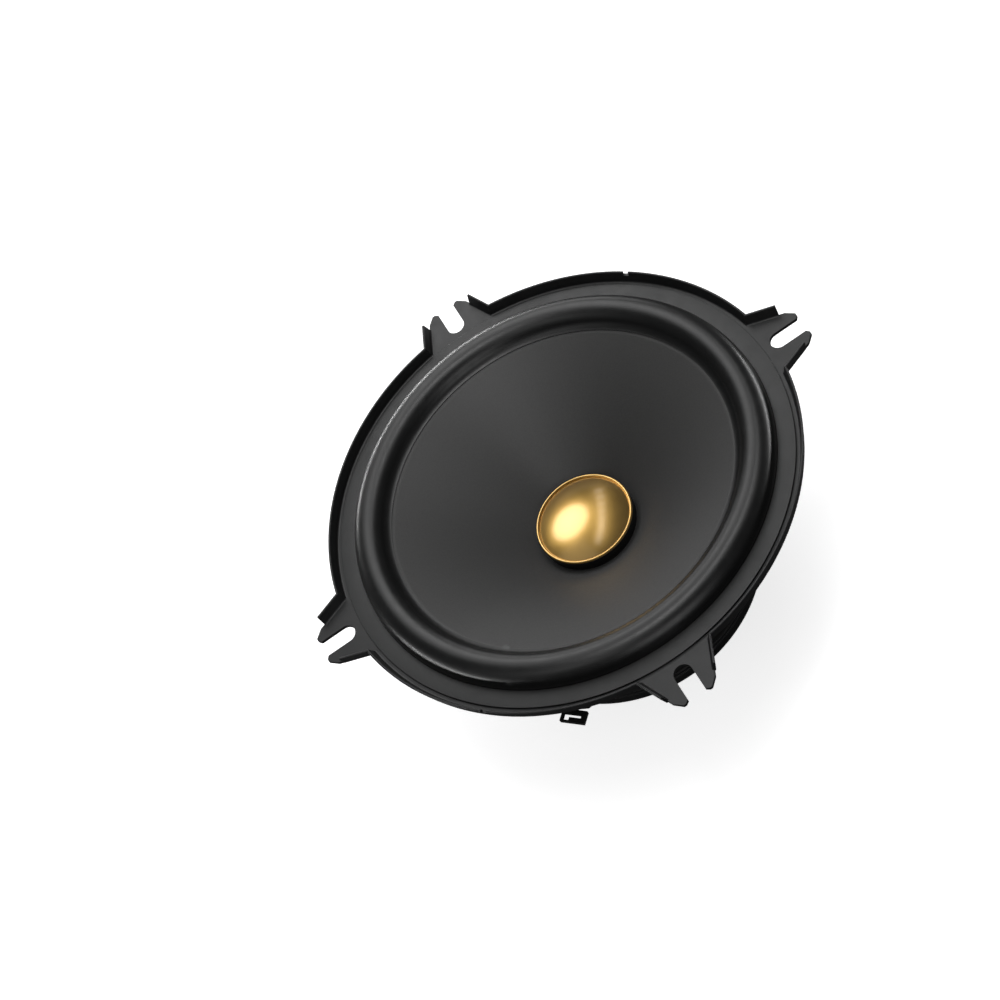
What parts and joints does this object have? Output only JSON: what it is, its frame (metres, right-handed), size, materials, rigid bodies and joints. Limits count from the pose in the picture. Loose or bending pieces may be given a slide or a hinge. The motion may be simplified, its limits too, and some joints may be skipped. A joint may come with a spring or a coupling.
{
  "type": "car door mid-woofer",
  "caption": "Round cone mid-woofer for a car door: steel basket with forked ears, rubber roll surround, dark cone, gold dust cap, ferrite motor and side terminals.",
  "frame": {"origin": "centre of the flange's rear face, which seats on the door", "axes": "+Z out of the cone, along the moving system's axis; the terminal board is on the -Y side"},
  "size_m": [0.131, 0.131, 0.054],
  "materials": {
    "black_coated_steel": "satin black coated pressed steel",
    "black_ring": "fine matte dark grey",
    "surround_rubber": "satin moulded rubber",
    "spider_cloth": "resin treated woven cloth",
    "plated_steel": "zinc plated, dull",
    "ferrite": "sintered ferrite, dark grey",
    "vent_gauze": "fine black gauze",
    "cover_rubber": "matte moulded rubber",
    "terminal_brass": "tin plated brass",
    "board_plastic": "black moulded plastic",
    "lead_braid": "braided tinsel wire",
    "cone_polymer": "fine matte moulded mica-filled polymer",
    "gold_metallised": "satin gold metallised",
    "collar_plastic": "black",
    "former_foil": "thin foil",
    "enamelled_wire": "enamelled copper",
    "solder_and_glue": "dark cured adhesive over solder"
  },
  "bodies": {
    "frame": {"basket": "black_coated_steel", "landing_ring": "black_ring", "surround": "surround_rubber", "spider": "spider_cloth", "top_plate": "plated_steel", "magnet": "ferrite", "yoke": "plated_steel", "vent_screen": "vent_gauze", "magnet_cover": "cover_rubber", "basket_rivets": "plated_steel", "board_rivet": "plated_steel", "tab_rivets": "terminal_brass", "terminal_board": "board_plastic", "terminal_tab_positive": "terminal_brass", "terminal_tab_negative": "terminal_brass", "lead_positive": "lead_braid", "lead_negative": "lead_braid"},
    "moving_system": {"cone": "cone_polymer", "dust_cap": "gold_metallised", "cap_collar": "collar_plastic", "voice_coil_former": "former_foil", "voice_coil_winding": "enamelled_wire", "coil_lead_joints": "solder_and_glue"}
  },
  "joints": [
    {"name": "cone_excursion", "type": "slide", "parent": "frame", "child": "moving_system", "axis": [0, 0, 1], "range_m": [-0.004, 0.004], "stiffness_N_per_m": 1500, "deforming": ["surround", "spider", "lead_positive", "lead_negative"]}
  ]
}
